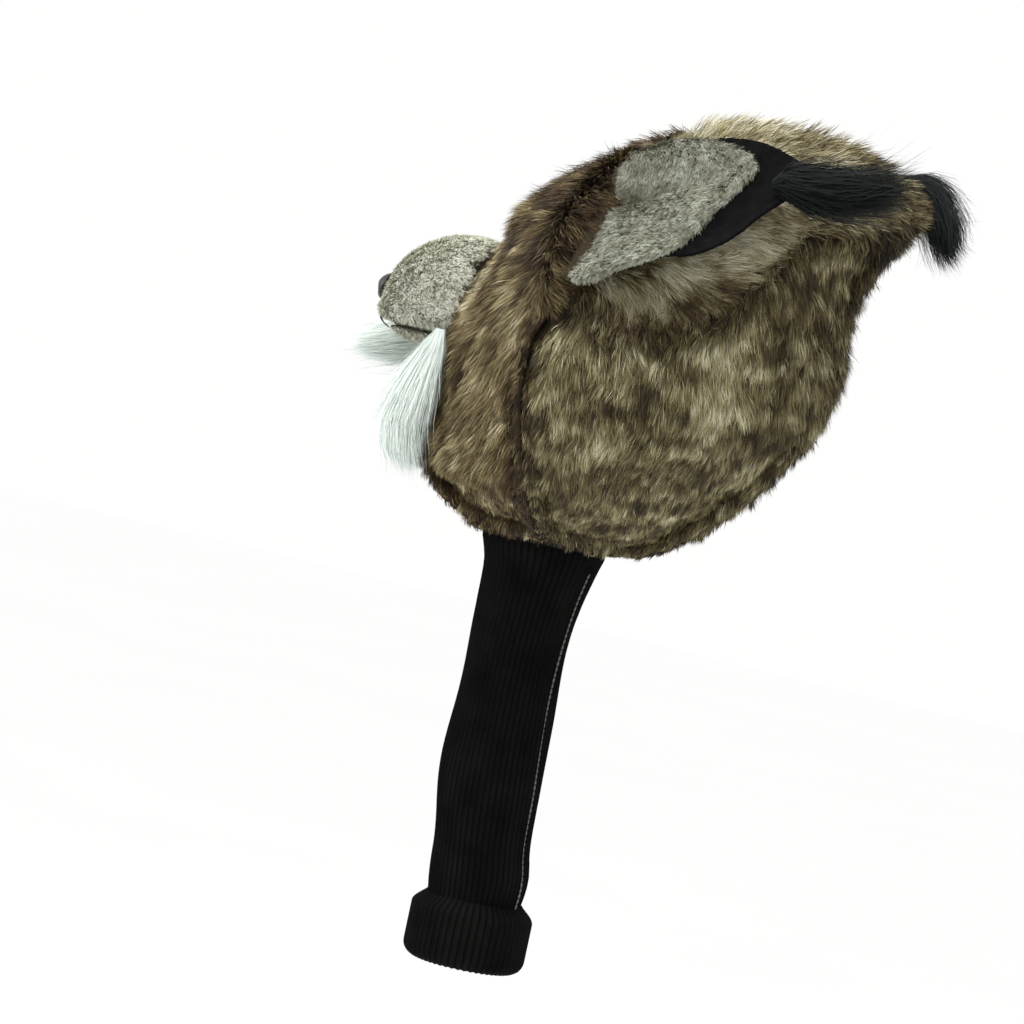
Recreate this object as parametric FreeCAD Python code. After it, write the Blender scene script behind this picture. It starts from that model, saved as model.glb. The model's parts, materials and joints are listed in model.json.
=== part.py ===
import FreeCAD, Part
import math
import os

from FreeCAD import Matrix, Vector

# Soft golf head cover: a plush wildcat head over a pocket for a driver, on a long rib-knit sock.
# Millimetres. +Z is up along the sock, the face looks towards -Y, the animal's left is +X.
# The origin is the centre of the elastic ring that closes round the club's neck.

os.makedirs("parts", exist_ok=True)

# ---- driving sizes ----
head_height = 211.0
head_length = 188.0
head_width = 156.0
head_bottom = -3.0

fur_thickness = 11.0        # pile and backing together
wadding_thickness = 5.0
lining_thickness = 1.5

club_ring_radius = 15.0     # relaxed inner radius of the elastic ring
club_ring_height = 10.0
ring_wall = 4.0
elastic_margin = 1.2        # cloth all round an elastic inside its casing

neck_ball_radius = 30.0     # rounded top of the sock, centred on the hinge
neck_ball_top = 8.0
neck_lip_angle = 48.0       # how far from the ball's pole the neck's lip lies, in degrees
neck_clearance = 0.8
binding_width = 4.0
binding_low = -3.0
binding_seat = 4.0          # how far the neck opening runs on above the binding
funnel_top = 26.0           # where the lining funnel meets the pocket floor
funnel_top_radius = 18.0
funnel_step = 2.0           # height of the slope that leads from the ring's casing to the funnel

knit_thickness = 2.5
sock_length = 174.0         # from the hinge down to the cuff
sock_radius = 23.4
sock_bow = 3.9              # how far the hanging sock bows forwards at mid length
cuff_height = 32.0
cuff_radius = 29.0
cuff_bore_radius = 19.5
cuff_offset = 3.0
cuff_elastic_height = 8.0
cuff_elastic_wall = 2.2
sock_straight = 16.0        # the bow starts this far below the hinge
tube_end_step = 0.8         # how much the tube narrows where the cuff begins
seam_start = 14.0           # the back seam begins this far below the hinge
seam_ridge = 0.7
seam_width = 1.6

muzzle_length = 43.0        # half axes of the muzzle's egg
muzzle_width = 36.0
muzzle_height = 41.0
muzzle_low_height = 17.0    # the egg is flatter below its middle
muzzle_drop = 118.5         # from the crown down to the muzzle's centre
muzzle_seat = 2.6           # how far inside the fur the muzzle's centre lies
plush_thickness = 4.0
bridge_half_width = 13.0
bridge_rise = 4.0           # lower edge of the bridge panel above the muzzle's centre
chin_drop = 8.0             # upper edge of the chin panel below the muzzle's centre

nose_half_width = 11.0
nose_half_length = 7.0
nose_half_height = 7.5
nose_sink = 3.5
nose_rise = 8.2             # above the muzzle's centre

thread_height = 0.7
thread_half_width = 0.8
mouth_top_rise = 2.5        # the mouth's stitches, measured from the muzzle's centre
mouth_split_drop = 4.0
mouth_corner_drop = 9.0
mouth_half_width = 14.0

eye_radius = 8.5
eye_height = 5.5
eye_spread = 26.0
eye_sink = 10.0
eye_clearance = 1.5         # between the eye and the pile round it
shank_radius = 2.5
washer_radius = 7.5
washer_thickness = 1.6
washer_gap = 0.5            # between the fur's backing and the washer
shank_tip = 0.6             # how far the shank runs on behind the washer

ear_cup_radius = 110.0
felt_thickness = 2.0
ear_plush_thickness = 4.0
ear_roll_radius = 5.5
ear_seam_rise = 11.0        # how far the ear's hinge line lies above the fur
ear_roll_clearance = 0.8
ear_roll_end_gap = 3.0

ear_tuft_radius = 9.0
cheek_tuft_radius = 6.0
cheek_tuft_drop = 122.0     # from the crown down to the roots of the white locks

# Rows of the head from bottom to top: height, centre along Y, half length, half width,
# as shares of the head's height, half length, half length and half width.
head_rows = [
    (0.000, 0.056, 0.469, 0.538),
    (0.038, 0.056, 0.620, 0.692),
    (0.095, 0.063, 0.759, 0.820),
    (0.180, 0.136, 0.876, 0.897),
    (0.275, 0.232, 0.936, 0.955),
    (0.370, 0.283, 0.987, 0.987),
    (0.469, 0.320, 1.000, 1.000),
    (0.559, 0.354, 0.965, 0.994),
    (0.649, 0.403, 0.924, 0.962),
    (0.725, 0.470, 0.929, 0.910),
    (0.796, 0.572, 0.901, 0.827),
    (0.858, 0.686, 0.839, 0.718),
    (0.915, 0.770, 0.716, 0.577),
    (0.957, 0.804, 0.552, 0.423),
    (0.986, 0.816, 0.365, 0.269),
    (1.000, 0.828, 0.170, 0.128),
]

# The tube below the ball: height under the hinge, and how much wider it is than sock_radius.
tube_rows = [(16.0, 3.2), (24.0, 2.0), (36.0, 0.9), (55.0, 0.0), (95.0, 0.1), (125.0, 0.5),
             (150.0, -0.4), (sock_length, -tube_end_step)]

least_half_length = 9.0     # smallest sections of the head's inner forms
least_half_width = 7.0
REACH = 400.0               # half side of the boxes used to cut with


# ---- helpers ----
def row_at(z):
    """Centre along Y, half length and half width of the head at height z."""
    share = (z - head_bottom) / head_height
    share = min(max(share, 0.0), 1.0)
    for low, high in zip(head_rows, head_rows[1:]):
        if share <= high[0]:
            t = (share - low[0]) / (high[0] - low[0])
            mixed = [p + (q - p) * t for p, q in zip(low, high)]
            return (mixed[1] * head_length / 2, mixed[2] * head_length / 2,
                    mixed[3] * head_width / 2)


def side_point(y, z, sign, out=0.0):
    """A point on the head's side, at the given y and z, moved out along X."""
    centre, half_length, half_width = row_at(z)
    t = min(abs(y - centre) / half_length, 0.99)
    return Vector(sign * (half_width * math.sqrt(1 - t * t) + out), y, z)


def front_y(x, z):
    """Where the head's front surface is, at the given x and z."""
    centre, half_length, half_width = row_at(z)
    t = min(abs(x) / half_width, 0.99)
    return centre - half_length * math.sqrt(1 - t * t)


def ellipse_wire(centre, half_y, half_x):
    ellipse = Part.Ellipse(centre + Vector(0, half_y, 0), centre + Vector(-half_x, 0, 0), centre)
    return Part.Wire(ellipse.toShape())


def head_form(depth, floor=None):
    """The head's outer form, shrunk inwards by depth, its bottom raised to floor if given."""
    bottom = head_bottom + depth if floor is None else floor
    top = head_bottom + head_height - depth
    wires = []
    for share, centre, half_length, half_width in head_rows:
        half_y = max(half_length * head_length / 2 - depth, least_half_length)
        half_x = max(half_width * head_width / 2 - depth, least_half_width)
        height = bottom + share * (top - bottom)
        wires.append(ellipse_wire(Vector(0, centre * head_length / 2, height),
                                  max(half_y, half_x + 0.5), half_x))
    return Part.makeLoft(wires, True, False)


def ellipsoid(centre, half_x, half_y, half_z):
    ball = Part.makeSphere(1.0)
    matrix = Matrix()
    matrix.scale(half_x, half_y, half_z)
    matrix.move(centre)
    return ball.transformGeometry(matrix)


def block(x0, x1, y0, y1, z0, z1):
    return Part.makeBox(x1 - x0, y1 - y0, z1 - z0, Vector(x0, y0, z0))


def side_block(sign, inner=0.0):
    """Everything on one side of the plane X = sign * inner."""
    if sign > 0:
        return block(inner, REACH, -REACH, REACH, -REACH, REACH)
    return block(-REACH, -inner, -REACH, REACH, -REACH, REACH)


def prism_yz(points, half_width=REACH):
    """A prism along X over a polygon of (y, z) points."""
    corners = [Vector(-half_width, y, z) for y, z in points]
    face = Part.Face(Part.makePolygon(corners + corners[:1]))
    return face.extrude(Vector(2 * half_width, 0, 0))


def ring(inner, outer, low, high, centre_y=0.0):
    base = Vector(0, centre_y, low)
    tube = Part.makeCylinder(outer, high - low, base)
    return tube.cut(Part.makeCylinder(inner, high - low, base))


def rod(start, end, radius):
    along = end - start
    return Part.makeCylinder(radius, along.Length, start, along)


def largest(shape):
    """The biggest solid of a cut, without the crumbs."""
    return max(shape.Solids, key=lambda solid: solid.Volume)


def tuft(points, radii, flat=1.0, flat_axis=Vector(1, 0, 0)):
    """A lock of long hair: round or flattened sections lofted along a bent path."""
    wires = []
    for n, (point, radius) in enumerate(zip(points, radii)):
        before, after = points[max(n - 1, 0)], points[min(n + 1, len(points) - 1)]
        along = (after - before).normalize()
        across = flat_axis - along * flat_axis.dot(along)
        across.normalize()
        up = along.cross(across)
        ellipse = Part.Ellipse(point + up * radius, point + across * (radius * flat), point)
        wires.append(Part.Wire(ellipse.toShape()))
    return Part.makeLoft(wires, True, False)


def save(name, shape):
    shape.exportStep("parts/" + name + ".step")


# ---- master forms of the head ----
fur_outside = head_form(0.0)
fur_inside = head_form(fur_thickness)
wadding_inside = head_form(fur_thickness + wadding_thickness, funnel_top - lining_thickness)
pocket = head_form(fur_thickness + wadding_thickness + lining_thickness, funnel_top)

crown_z = head_bottom + head_height
binding_radius = neck_ball_radius + neck_clearance + binding_width
socket_ball = Part.makeSphere(neck_ball_radius + neck_clearance)
socket_top = neck_ball_radius * math.cos(math.radians(neck_lip_angle))
socket_ball = socket_ball.common(block(-REACH, REACH, -REACH, REACH, -REACH, socket_top))
binding_high = head_bottom + fur_thickness
neck_hole = Part.makeCylinder(binding_radius, binding_high + binding_seat + REACH, Vector(0, 0, -REACH))

# ---- ear frames: the hinge line lies along the ear's base seam ----
ear_low_z = head_bottom + 0.592 * head_height
ear_high_z = head_bottom + 0.848 * head_height
ear_low_y = 0.160 * head_length / 2
ear_high_y = 0.213 * head_length / 2
ear_tip_x = 0.935 * head_width / 2
ear_tip_y = 1.190 * head_length / 2
ear_tip_z = head_bottom + 0.950 * head_height


class Ear:
    def __init__(self, sign):
        low = side_point(ear_low_y, ear_low_z, sign, ear_seam_rise)
        high = side_point(ear_high_y, ear_high_z, sign, ear_seam_rise)
        self.middle = (low + high) * 0.5
        self.along = (high - low).normalize()
        self.half = (high - low).Length / 2
        reach = Vector(sign * ear_tip_x, ear_tip_y, ear_tip_z) - self.middle
        self.length = reach.Length
        self.lean = reach * (1 / self.length)
        self.out = (reach - self.along * reach.dot(self.along)).normalize()
        self.normal = self.along.cross(self.out) * -sign

    def point(self, s, t, n=0.0):
        """s runs out from the seam, t up along it, n outwards from the head."""
        return self.middle + self.out * s + self.along * t + self.normal * n

    def prism(self, outline, depth=30.0):
        points = [self.point(s * self.length, t * self.length, -depth) for s, t in outline]
        curve = Part.BSplineCurve()
        curve.interpolate(points, PeriodicFlag=True)
        face = Part.Face(Part.Wire(curve.toShape()))
        return face.extrude(self.normal * (2 * depth))

    def shell(self, inside, outside):
        """Part of a wide tube along the ear whose hollow side faces away from the head."""
        start = self.point(0, 0, ear_cup_radius) - self.lean * self.length
        outer = Part.makeCylinder(outside, 3 * self.length, start, self.lean)
        return outer.cut(Part.makeCylinder(inside, 3 * self.length, start, self.lean))


# Outlines as shares of the ear's length, out from the seam and up along it.
felt_outline = [(0.02, -0.270), (0.175, -0.262), (0.355, -0.190), (0.568, -0.135), (0.715, -0.020),
                (0.80, 0.160), (0.88, 0.300), (0.905, 0.440), (0.79, 0.515), (0.63, 0.560),
                (0.49, 0.550), (0.33, 0.500), (0.16, 0.440), (0.04, 0.310), (0.015, 0.100),
                (0.012, -0.120)]
plush_outline = [(0.03, -0.255), (0.170, -0.245), (0.330, -0.172), (0.530, -0.115), (0.600, 0.030),
                 (0.645, 0.200), (0.69, 0.330), (0.700, 0.415), (0.63, 0.465), (0.50, 0.490),
                 (0.34, 0.485), (0.17, 0.425), (0.05, 0.310), (0.025, 0.100), (0.022, -0.120)]

ears = {}
ear_grooves = []
for side, sign in (("left", 1), ("right", -1)):
    ear = Ear(sign)
    ears[side] = ear
    ear_grooves.append(rod(ear.point(0, -ear.half - ear_roll_end_gap),
                           ear.point(0, ear.half + ear_roll_end_gap),
                           ear_roll_radius + ear_roll_clearance))

# ---- eye frames ----
eye_z = head_bottom + 0.60 * head_height


class Eye:
    """A domed plastic eye in a hollow of the fur, held by a washer behind the backing."""

    def __init__(self, sign):
        self.axis = Vector(0.36 * sign, -0.92, 0.12).normalize()
        x = sign * eye_spread
        self.seat = Vector(x, front_y(x, eye_z), eye_z) - self.axis * eye_sink
        self.washer_depth = fur_thickness - eye_sink + washer_gap

    def socket(self):
        return rod(self.seat, self.seat + self.axis * REACH, eye_radius + eye_clearance)

    def shank(self):
        depth = self.washer_depth + washer_thickness + shank_tip
        return rod(self.seat - self.axis * depth, self.seat, shank_radius)

    def washer(self):
        front = self.seat - self.axis * self.washer_depth
        return rod(front - self.axis * washer_thickness, front, washer_radius)

    def dome(self):
        ball_radius = (eye_radius ** 2 + eye_height ** 2) / (2 * eye_height)
        ball = Part.makeSphere(ball_radius)
        ball.translate(self.seat - self.axis * (ball_radius - eye_height))
        return ball.common(rod(self.seat, self.seat + self.axis * ball_radius, eye_radius + 1.0))


eyes = {"left": Eye(1), "right": Eye(-1)}
eye_sockets = [eye.socket() for eye in eyes.values()]
eye_hollows = eye_sockets + [cut for eye in eyes.values() for cut in (eye.shank(), eye.washer())]

# ---- fur panels ----
def on_side(points):
    """(y, z) points from shares of the head's half length and height."""
    return [(y * head_length / 2, head_bottom + z * head_height) for y, z in points]


# the seam in front of the ear, and the one that runs from the ear's lower corner to the back
face_seam = on_side([(0.17, -0.10), (0.10, 0.085), (-0.02, 0.30), (-0.03, 0.44), (0.12, 0.57),
                     (0.24, 0.855), (0.34, 1.05)])
crown_seam = on_side([(0.12, 0.57), (0.36, 0.51), (0.62, 0.515), (0.90, 0.585), (1.01, 0.70),
                      (1.12, 0.77), (1.50, 0.84)])
face_zone = prism_yz(face_seam + [(-REACH, 1.05 * head_height), (-REACH, -0.15 * head_height)])
crown_zone = prism_yz(crown_seam + [(REACH, 1.05 * head_height), (0.0, 1.05 * head_height)])
throat_half = 0.42 * head_width / 2
throat_top = head_bottom + 0.22 * head_height
throat_zone = block(-throat_half, throat_half, -REACH, 0.0, -REACH, throat_top)

fur_shell = fur_outside.cut([fur_inside, neck_hole] + ear_grooves + eye_hollows)
face_fur = fur_shell.common(face_zone)
back_fur = fur_shell.cut(face_zone)
save("fur_throat", largest(face_fur.common(throat_zone)))
face_sides = face_fur.cut(throat_zone)
crown_fur = back_fur.common(crown_zone)
back_sides = back_fur.cut(crown_zone)
for side, sign in (("left", 1), ("right", -1)):
    save("fur_face_" + side, largest(face_sides.common(side_block(sign))))
    save("fur_crown_" + side, largest(crown_fur.common(side_block(sign))))
    save("fur_back_" + side, largest(back_sides.common(side_block(sign))))

# ---- wadding and pocket lining, each in two halves ----
funnel_shaft = Part.makeCylinder(funnel_top_radius + lining_thickness, funnel_top + lining_thickness + REACH,
                                 Vector(0, 0, -REACH))
wadding = fur_inside.cut([wadding_inside, socket_ball, funnel_shaft, neck_hole] + eye_hollows)
lining = wadding_inside.cut([pocket, funnel_shaft] + eye_hollows)
for side, sign in (("left", 1), ("right", -1)):
    save("wadding_" + side, largest(wadding.common(side_block(sign))))
    save("pocket_lining_" + side, largest(lining.common(side_block(sign))))

# ---- neck: binding tape, lining funnel and its elastic ring ----
binding = Part.makeCylinder(binding_radius, binding_high - binding_low, Vector(0, 0, binding_low))
save("neck_binding", binding.cut(socket_ball))

half_ring = club_ring_height / 2
ring_outer = club_ring_radius + ring_wall
funnel_profile = [(club_ring_radius, -half_ring), (ring_outer, -half_ring), (ring_outer, half_ring),
                  (club_ring_radius + lining_thickness, half_ring + funnel_step),
                  (funnel_top_radius + lining_thickness, funnel_top),
                  (funnel_top_radius, funnel_top), (club_ring_radius, half_ring)]
corners = [Vector(r, 0, z) for r, z in funnel_profile]
funnel = Part.Face(Part.makePolygon(corners + corners[:1])).revolve(Vector(0, 0, 0), Vector(0, 0, 1), 360)
neck_elastic = ring(club_ring_radius + elastic_margin, ring_outer - elastic_margin,
                    -half_ring + elastic_margin, half_ring - elastic_margin)
save("neck_elastic", neck_elastic)
save("pocket_funnel", funnel.cut(neck_elastic))

# ---- eyes ----
for side, eye in eyes.items():
    save("eye_" + side, largest(eye.dome().fuse(eye.shank()).removeSplitter()))
    save("eye_washer_" + side, eye.washer().cut(eye.shank()))

# ---- muzzle ----
muzzle_z = crown_z - muzzle_drop
muzzle_centre = Vector(0, front_y(0, muzzle_z) + muzzle_seat, muzzle_z)


def muzzle_form(out):
    """The muzzle's egg, grown outwards by out."""
    halves = []
    for height, zone in ((muzzle_height, block(-REACH, REACH, -REACH, REACH, muzzle_z, REACH)),
                         (muzzle_low_height, block(-REACH, REACH, -REACH, REACH, -REACH, muzzle_z))):
        whole = ellipsoid(muzzle_centre, muzzle_width + out, muzzle_length + out, height + out)
        halves.append(whole.common(zone))
    return halves[0].fuse(halves[1])


muzzle_outside = muzzle_form(0.0)
muzzle_inside = muzzle_form(-plush_thickness)
plush = muzzle_outside.cut([muzzle_inside, fur_outside] + eye_sockets)
bridge_zone = block(-bridge_half_width, bridge_half_width, -REACH, REACH, muzzle_z + bridge_rise, REACH)
chin_zone = block(-REACH, REACH, -REACH, REACH, -REACH, muzzle_z - chin_drop)
save("muzzle_bridge", largest(plush.common(bridge_zone)))
save("muzzle_chin", largest(plush.common(chin_zone)))
plush_sides = plush.cut([bridge_zone, chin_zone])
for side, sign in (("left", 1), ("right", -1)):
    save("muzzle_" + side, largest(plush_sides.common(side_block(sign))))
save("muzzle_filling", largest(muzzle_inside.cut([fur_outside] + eye_sockets)))

muzzle_tip = muzzle_centre.y - muzzle_length
nose_centre = Vector(0, muzzle_tip + nose_sink, muzzle_z + nose_rise)
nose = ellipsoid(nose_centre, nose_half_width, nose_half_length, nose_half_height)
nose = largest(nose.cut(muzzle_outside))
save("nose", nose)

# the mouth's stitches: one line down from the nose, then one to each side
mouth_split = muzzle_z - mouth_split_drop
mouth_corner = muzzle_z - mouth_corner_drop
mouth_front = muzzle_tip - nose_half_length
mouth_lines = block(-thread_half_width, thread_half_width, mouth_front, muzzle_centre.y,
                    mouth_split - thread_half_width, muzzle_z + mouth_top_rise)
for sign in (1, -1):
    corners = [Vector(0, mouth_front, mouth_split + thread_half_width),
               Vector(sign * mouth_half_width, mouth_front, mouth_corner + thread_half_width),
               Vector(sign * mouth_half_width, mouth_front, mouth_corner - thread_half_width),
               Vector(0, mouth_front, mouth_split - thread_half_width)]
    stroke = Part.Face(Part.makePolygon(corners + corners[:1])).extrude(Vector(0, muzzle_length, 0))
    mouth_lines = mouth_lines.fuse(stroke)
mouth = muzzle_form(thread_height).cut([muzzle_outside, nose]).common(mouth_lines)
save("mouth_stitching", largest(mouth))

# ---- ears ----
# Bends of the long black locks from their roots: the left one sweeps back, the right one droops.
tuft_bends = {"left": [(0, 0, 0), (2, 16, -3), (3, 40, -1), (0, 68, 9)],
              "right": [(0, 0, 0), (1, 8, 4), (0, 21, -3), (1, 31, -30)]}
tuft_roots = {"left": (0.78, 0.33), "right": (0.84, 0.42)}
ear_tuft_swell = (0.55, 1.0, 0.9, 0.3)
for side, ear in ears.items():
    roll = rod(ear.point(0, -ear.half), ear.point(0, ear.half), ear_roll_radius)
    felt = ear.shell(ear_cup_radius, ear_cup_radius + felt_thickness).common(ear.prism(felt_outline))
    inner = ear.shell(ear_cup_radius - ear_plush_thickness, ear_cup_radius)
    inner = inner.common(ear.prism(plush_outline))
    felt = largest(felt.cut(roll))
    inner = largest(inner.cut(roll))
    save("ear_roll_" + side, roll)
    save("ear_felt_" + side, felt)
    save("ear_plush_" + side, inner)
    s, t = tuft_roots[side]
    root = ear.point(s * ear.length, t * ear.length, ear_plush_thickness + 1.0)
    path = [root + Vector(*bend) for bend in tuft_bends[side]]
    lock = tuft(path, [ear_tuft_radius * k for k in ear_tuft_swell], 0.8)
    save("ear_tuft_" + side, largest(lock.cut([felt, inner])))

# ---- white cheek tufts: the left one hangs and fans out, the right one sticks forwards ----
cheek_z = crown_z - cheek_tuft_drop
left_x = 0.55 * head_width / 2
left_path = [Vector(left_x, front_y(left_x, cheek_z - drop) - forward, cheek_z - drop)
             for drop, forward in ((0, 3), (16, 7), (40, 9), (72, 8))]
left_tuft = tuft(left_path, [cheek_tuft_radius * k for k in (0.8, 1.5, 2.3, 1.3)], 0.6)
save("cheek_tuft_left", largest(left_tuft.cut([fur_outside, muzzle_outside])))

right_x = -0.47 * head_width / 2
right_root = Vector(right_x, front_y(right_x, cheek_z) + 2.0, cheek_z)
right_path = [right_root + Vector(*bend) for bend in ((0, 0, 0), (-3, -18, -2), (0, -46, -9), (6, -72, -18))]
right_tuft = tuft(right_path, [cheek_tuft_radius * k for k in (0.9, 1.4, 1.3, 0.4)], 0.8)
save("cheek_tuft_right", largest(right_tuft.cut([fur_outside, muzzle_outside])))


# ---- sock: a rounded top inside the neck, a gently bowed tube, a seam down the back ----
def sock_centre(z):
    """The tube bows forwards at mid length and comes back to the cuff's centre."""
    if z > -sock_straight:
        return 0.0
    t = min((-sock_straight - z) / (sock_length - sock_straight), 1.0)
    return -sock_bow * math.sin(math.pi * t) * (1 - 0.35 * t) + cuff_offset * t * t


def sock_form(offset, overrun=0.0):
    """The tube's outer form, grown by offset and run on past both ends by overrun."""
    ball = neck_ball_radius + offset
    ball_heights = [neck_ball_top - n * 4.0 for n in range(6)]
    rows = [(z, math.sqrt(ball ** 2 - z ** 2)) for z in ball_heights]
    rows += [(-drop, sock_radius + extra + offset) for drop, extra in tube_rows]
    if overrun:
        rows.insert(0, (neck_ball_top + overrun, rows[0][1] - overrun * 0.3))
        rows.append((-sock_length - overrun, rows[-1][1]))
    circles = [Part.Wire(Part.Circle(Vector(0, sock_centre(z), z), Vector(0, 0, 1), radius).toShape())
               for z, radius in rows]
    return Part.makeLoft(circles, True, False)


sock_outside = sock_form(0.0)
save("sock_tube", largest(sock_outside.cut(sock_form(-knit_thickness, 1.0))))
seam_zone = block(-seam_width / 2, seam_width / 2, 0, REACH, -sock_length, -seam_start)
save("sock_seam", largest(sock_form(seam_ridge).cut(sock_outside).common(seam_zone)))

# ---- cuff: the knit rolled over an elastic ring ----
cuff_top = -sock_length
cuff_low = cuff_top - cuff_height
cuff_start = sock_radius - tube_end_step
cuff_edge = [(cuff_start, 0.0), (cuff_start + 0.55 * (cuff_radius - cuff_start), -0.12),
             (cuff_radius - 0.4, -0.30), (cuff_radius, -0.52), (cuff_radius - 0.5, -0.78),
             (cuff_radius - 2.6, -0.93), (cuff_radius - 5.5, -1.0)]
edge_points = [Vector(r, 0, cuff_top + share * cuff_height) for r, share in cuff_edge]
edge = Part.BSplineCurve()
edge.interpolate(edge_points)
bore_low = Vector(cuff_bore_radius, 0, cuff_low)
bore_high = Vector(cuff_bore_radius, 0, cuff_top)
profile = Part.Wire([edge.toShape(), Part.makeLine(edge_points[-1], bore_low),
                     Part.makeLine(bore_low, bore_high), Part.makeLine(bore_high, edge_points[0])])
cuff = Part.Face(profile).revolve(Vector(0, 0, 0), Vector(0, 0, 1), 360)
cuff_middle_y = sock_centre(-sock_length)
cuff.translate(Vector(0, cuff_middle_y, 0))
elastic_middle = cuff_top - 0.55 * cuff_height
elastic_inner = cuff_bore_radius + elastic_margin
cuff_elastic = ring(elastic_inner, elastic_inner + cuff_elastic_wall,
                    elastic_middle - cuff_elastic_height / 2, elastic_middle + cuff_elastic_height / 2,
                    cuff_middle_y)
save("cuff_elastic", cuff_elastic)
save("cuff_roll", cuff.cut(cuff_elastic))
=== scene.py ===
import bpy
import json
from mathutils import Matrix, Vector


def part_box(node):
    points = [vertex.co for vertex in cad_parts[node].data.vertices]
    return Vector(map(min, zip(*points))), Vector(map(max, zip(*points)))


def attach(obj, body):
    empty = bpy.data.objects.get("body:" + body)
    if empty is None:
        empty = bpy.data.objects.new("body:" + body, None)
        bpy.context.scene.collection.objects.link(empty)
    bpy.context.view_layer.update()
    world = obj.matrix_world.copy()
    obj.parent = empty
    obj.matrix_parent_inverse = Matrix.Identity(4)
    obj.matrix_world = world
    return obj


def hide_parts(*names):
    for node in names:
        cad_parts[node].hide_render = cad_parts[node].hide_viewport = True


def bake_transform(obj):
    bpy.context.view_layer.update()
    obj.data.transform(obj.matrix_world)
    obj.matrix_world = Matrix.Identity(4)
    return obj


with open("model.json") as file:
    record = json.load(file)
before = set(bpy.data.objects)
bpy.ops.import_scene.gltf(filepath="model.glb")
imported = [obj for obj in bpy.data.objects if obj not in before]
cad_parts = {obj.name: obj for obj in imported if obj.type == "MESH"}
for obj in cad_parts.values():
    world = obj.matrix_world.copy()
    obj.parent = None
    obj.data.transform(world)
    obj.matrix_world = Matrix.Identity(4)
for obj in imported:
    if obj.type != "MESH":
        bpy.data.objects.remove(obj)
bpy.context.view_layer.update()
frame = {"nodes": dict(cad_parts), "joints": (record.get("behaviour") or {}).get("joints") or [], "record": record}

import json
import math

import bpy
import numpy as np
from mathutils import Matrix, Vector, noise
from mathutils.bvhtree import BVHTree

# Plush wildcat head cover: fake-fur head, plush muzzle and ears, long hair locks, rib-knit sock.
# Metres, in the row frame: +Z up, the face looks towards -Y, the animal's left is +X.

rng = np.random.default_rng(11)
MM = 0.001
MOST_HAIRS = 39000          # in one piece, so that it keeps under 200,000 triangles
MOST_STRAYS = 1000          # a lock of no more hairs than this is strays over the full lock
MUZZLE_HAIRS = 16000        # on each panel
EAR_HAIRS = 46000
TONE_RANGE = (0.02, 0.98)   # keeps a hair's colour off the ends of its ramp
NEVER_ZERO = 1e-9           # least weight of a corner, so that the weights can be shared out
HAIR_TAPER = 0.55           # how much of its width a hair loses by its tip
FUR_NODES = [n for n in frame["nodes"] if n.startswith("fur_")]


# ---------------------------------------------------------------- helpers
def world_mesh(node):
    """A CAD node's corners and triangles in the row frame."""
    obj = frame["nodes"][node]
    mesh = obj.data
    co = np.empty(len(mesh.vertices) * 3)
    mesh.vertices.foreach_get("co", co)
    turn = np.array(obj.matrix_world)
    co = co.reshape(-1, 3) @ turn[:3, :3].T + turn[:3, 3]
    mesh.calc_loop_triangles()
    tris = np.empty(len(mesh.loop_triangles) * 3, int)
    mesh.loop_triangles.foreach_get("vertices", tris)
    return co, tris.reshape(-1, 3)


def tree_of(nodes):
    corners, tris, first = [], [], 0
    for node in nodes:
        co, tri = world_mesh(node)
        corners.append(co)
        tris.append(tri + first)
        first += len(co)
    return BVHTree.FromPolygons(np.vstack(corners).tolist(), np.vstack(tris).tolist())


def add_object(name, mesh):
    obj = bpy.data.objects.new(name, mesh)
    bpy.context.scene.collection.objects.link(obj)
    return obj


def make_mesh(name, co, loops, starts, smooth=True):
    mesh = bpy.data.meshes.new(name)
    mesh.vertices.add(len(co))
    mesh.vertices.foreach_set("co", np.ascontiguousarray(co, dtype=np.float32).ravel())
    mesh.loops.add(len(loops))
    mesh.loops.foreach_set("vertex_index", np.asarray(loops, dtype=np.int32))
    mesh.polygons.add(len(starts))
    mesh.polygons.foreach_set("loop_start", np.asarray(starts, dtype=np.int32))
    mesh.update(calc_edges=True)
    if smooth:
        mesh.shade_smooth()
    return mesh


def grid_mesh(name, points, wrap_u=True, wrap_v=False):
    """A mesh over points[v][u], closed round u if wrap_u."""
    rows, cols = points.shape[:2]
    at = np.arange(rows * cols).reshape(rows, cols)
    right = np.roll(at, -1, axis=1) if wrap_u else at[:, 1:]
    left = at if wrap_u else at[:, :-1]
    if wrap_v:
        quads = np.stack([left, right, np.roll(right, -1, axis=0), np.roll(left, -1, axis=0)], -1)
    else:
        quads = np.stack([left[:-1], right[:-1], right[1:], left[1:]], -1)
    quads = quads.reshape(-1, 4)
    return make_mesh(name, points.reshape(-1, 3), quads.ravel(), np.arange(len(quads)) * 4), quads


def soft_copy(name, nodes, voxel, smooth=3):
    """An even mesh of the same form as these CAD nodes."""
    corners, loops, first = [], [], 0
    for node in nodes:
        co, tri = world_mesh(node)
        corners.append(co)
        loops.append(tri.ravel() + first)
        first += len(co)
    loops = np.concatenate(loops)
    obj = add_object(name, make_mesh(name, np.vstack(corners), loops, np.arange(len(loops) // 3) * 3))
    remesh = obj.modifiers.new("remesh", "REMESH")
    remesh.mode, remesh.voxel_size, remesh.use_smooth_shade = "VOXEL", voxel, True
    if smooth:
        ease = obj.modifiers.new("ease", "SMOOTH")
        ease.factor, ease.iterations = 0.5, smooth
    evaluated = obj.evaluated_get(bpy.context.evaluated_depsgraph_get())
    fresh = bpy.data.meshes.new_from_object(evaluated)
    obj.modifiers.clear()
    old, obj.data = obj.data, fresh
    bpy.data.meshes.remove(old)
    obj.data.name = name
    return obj


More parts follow.
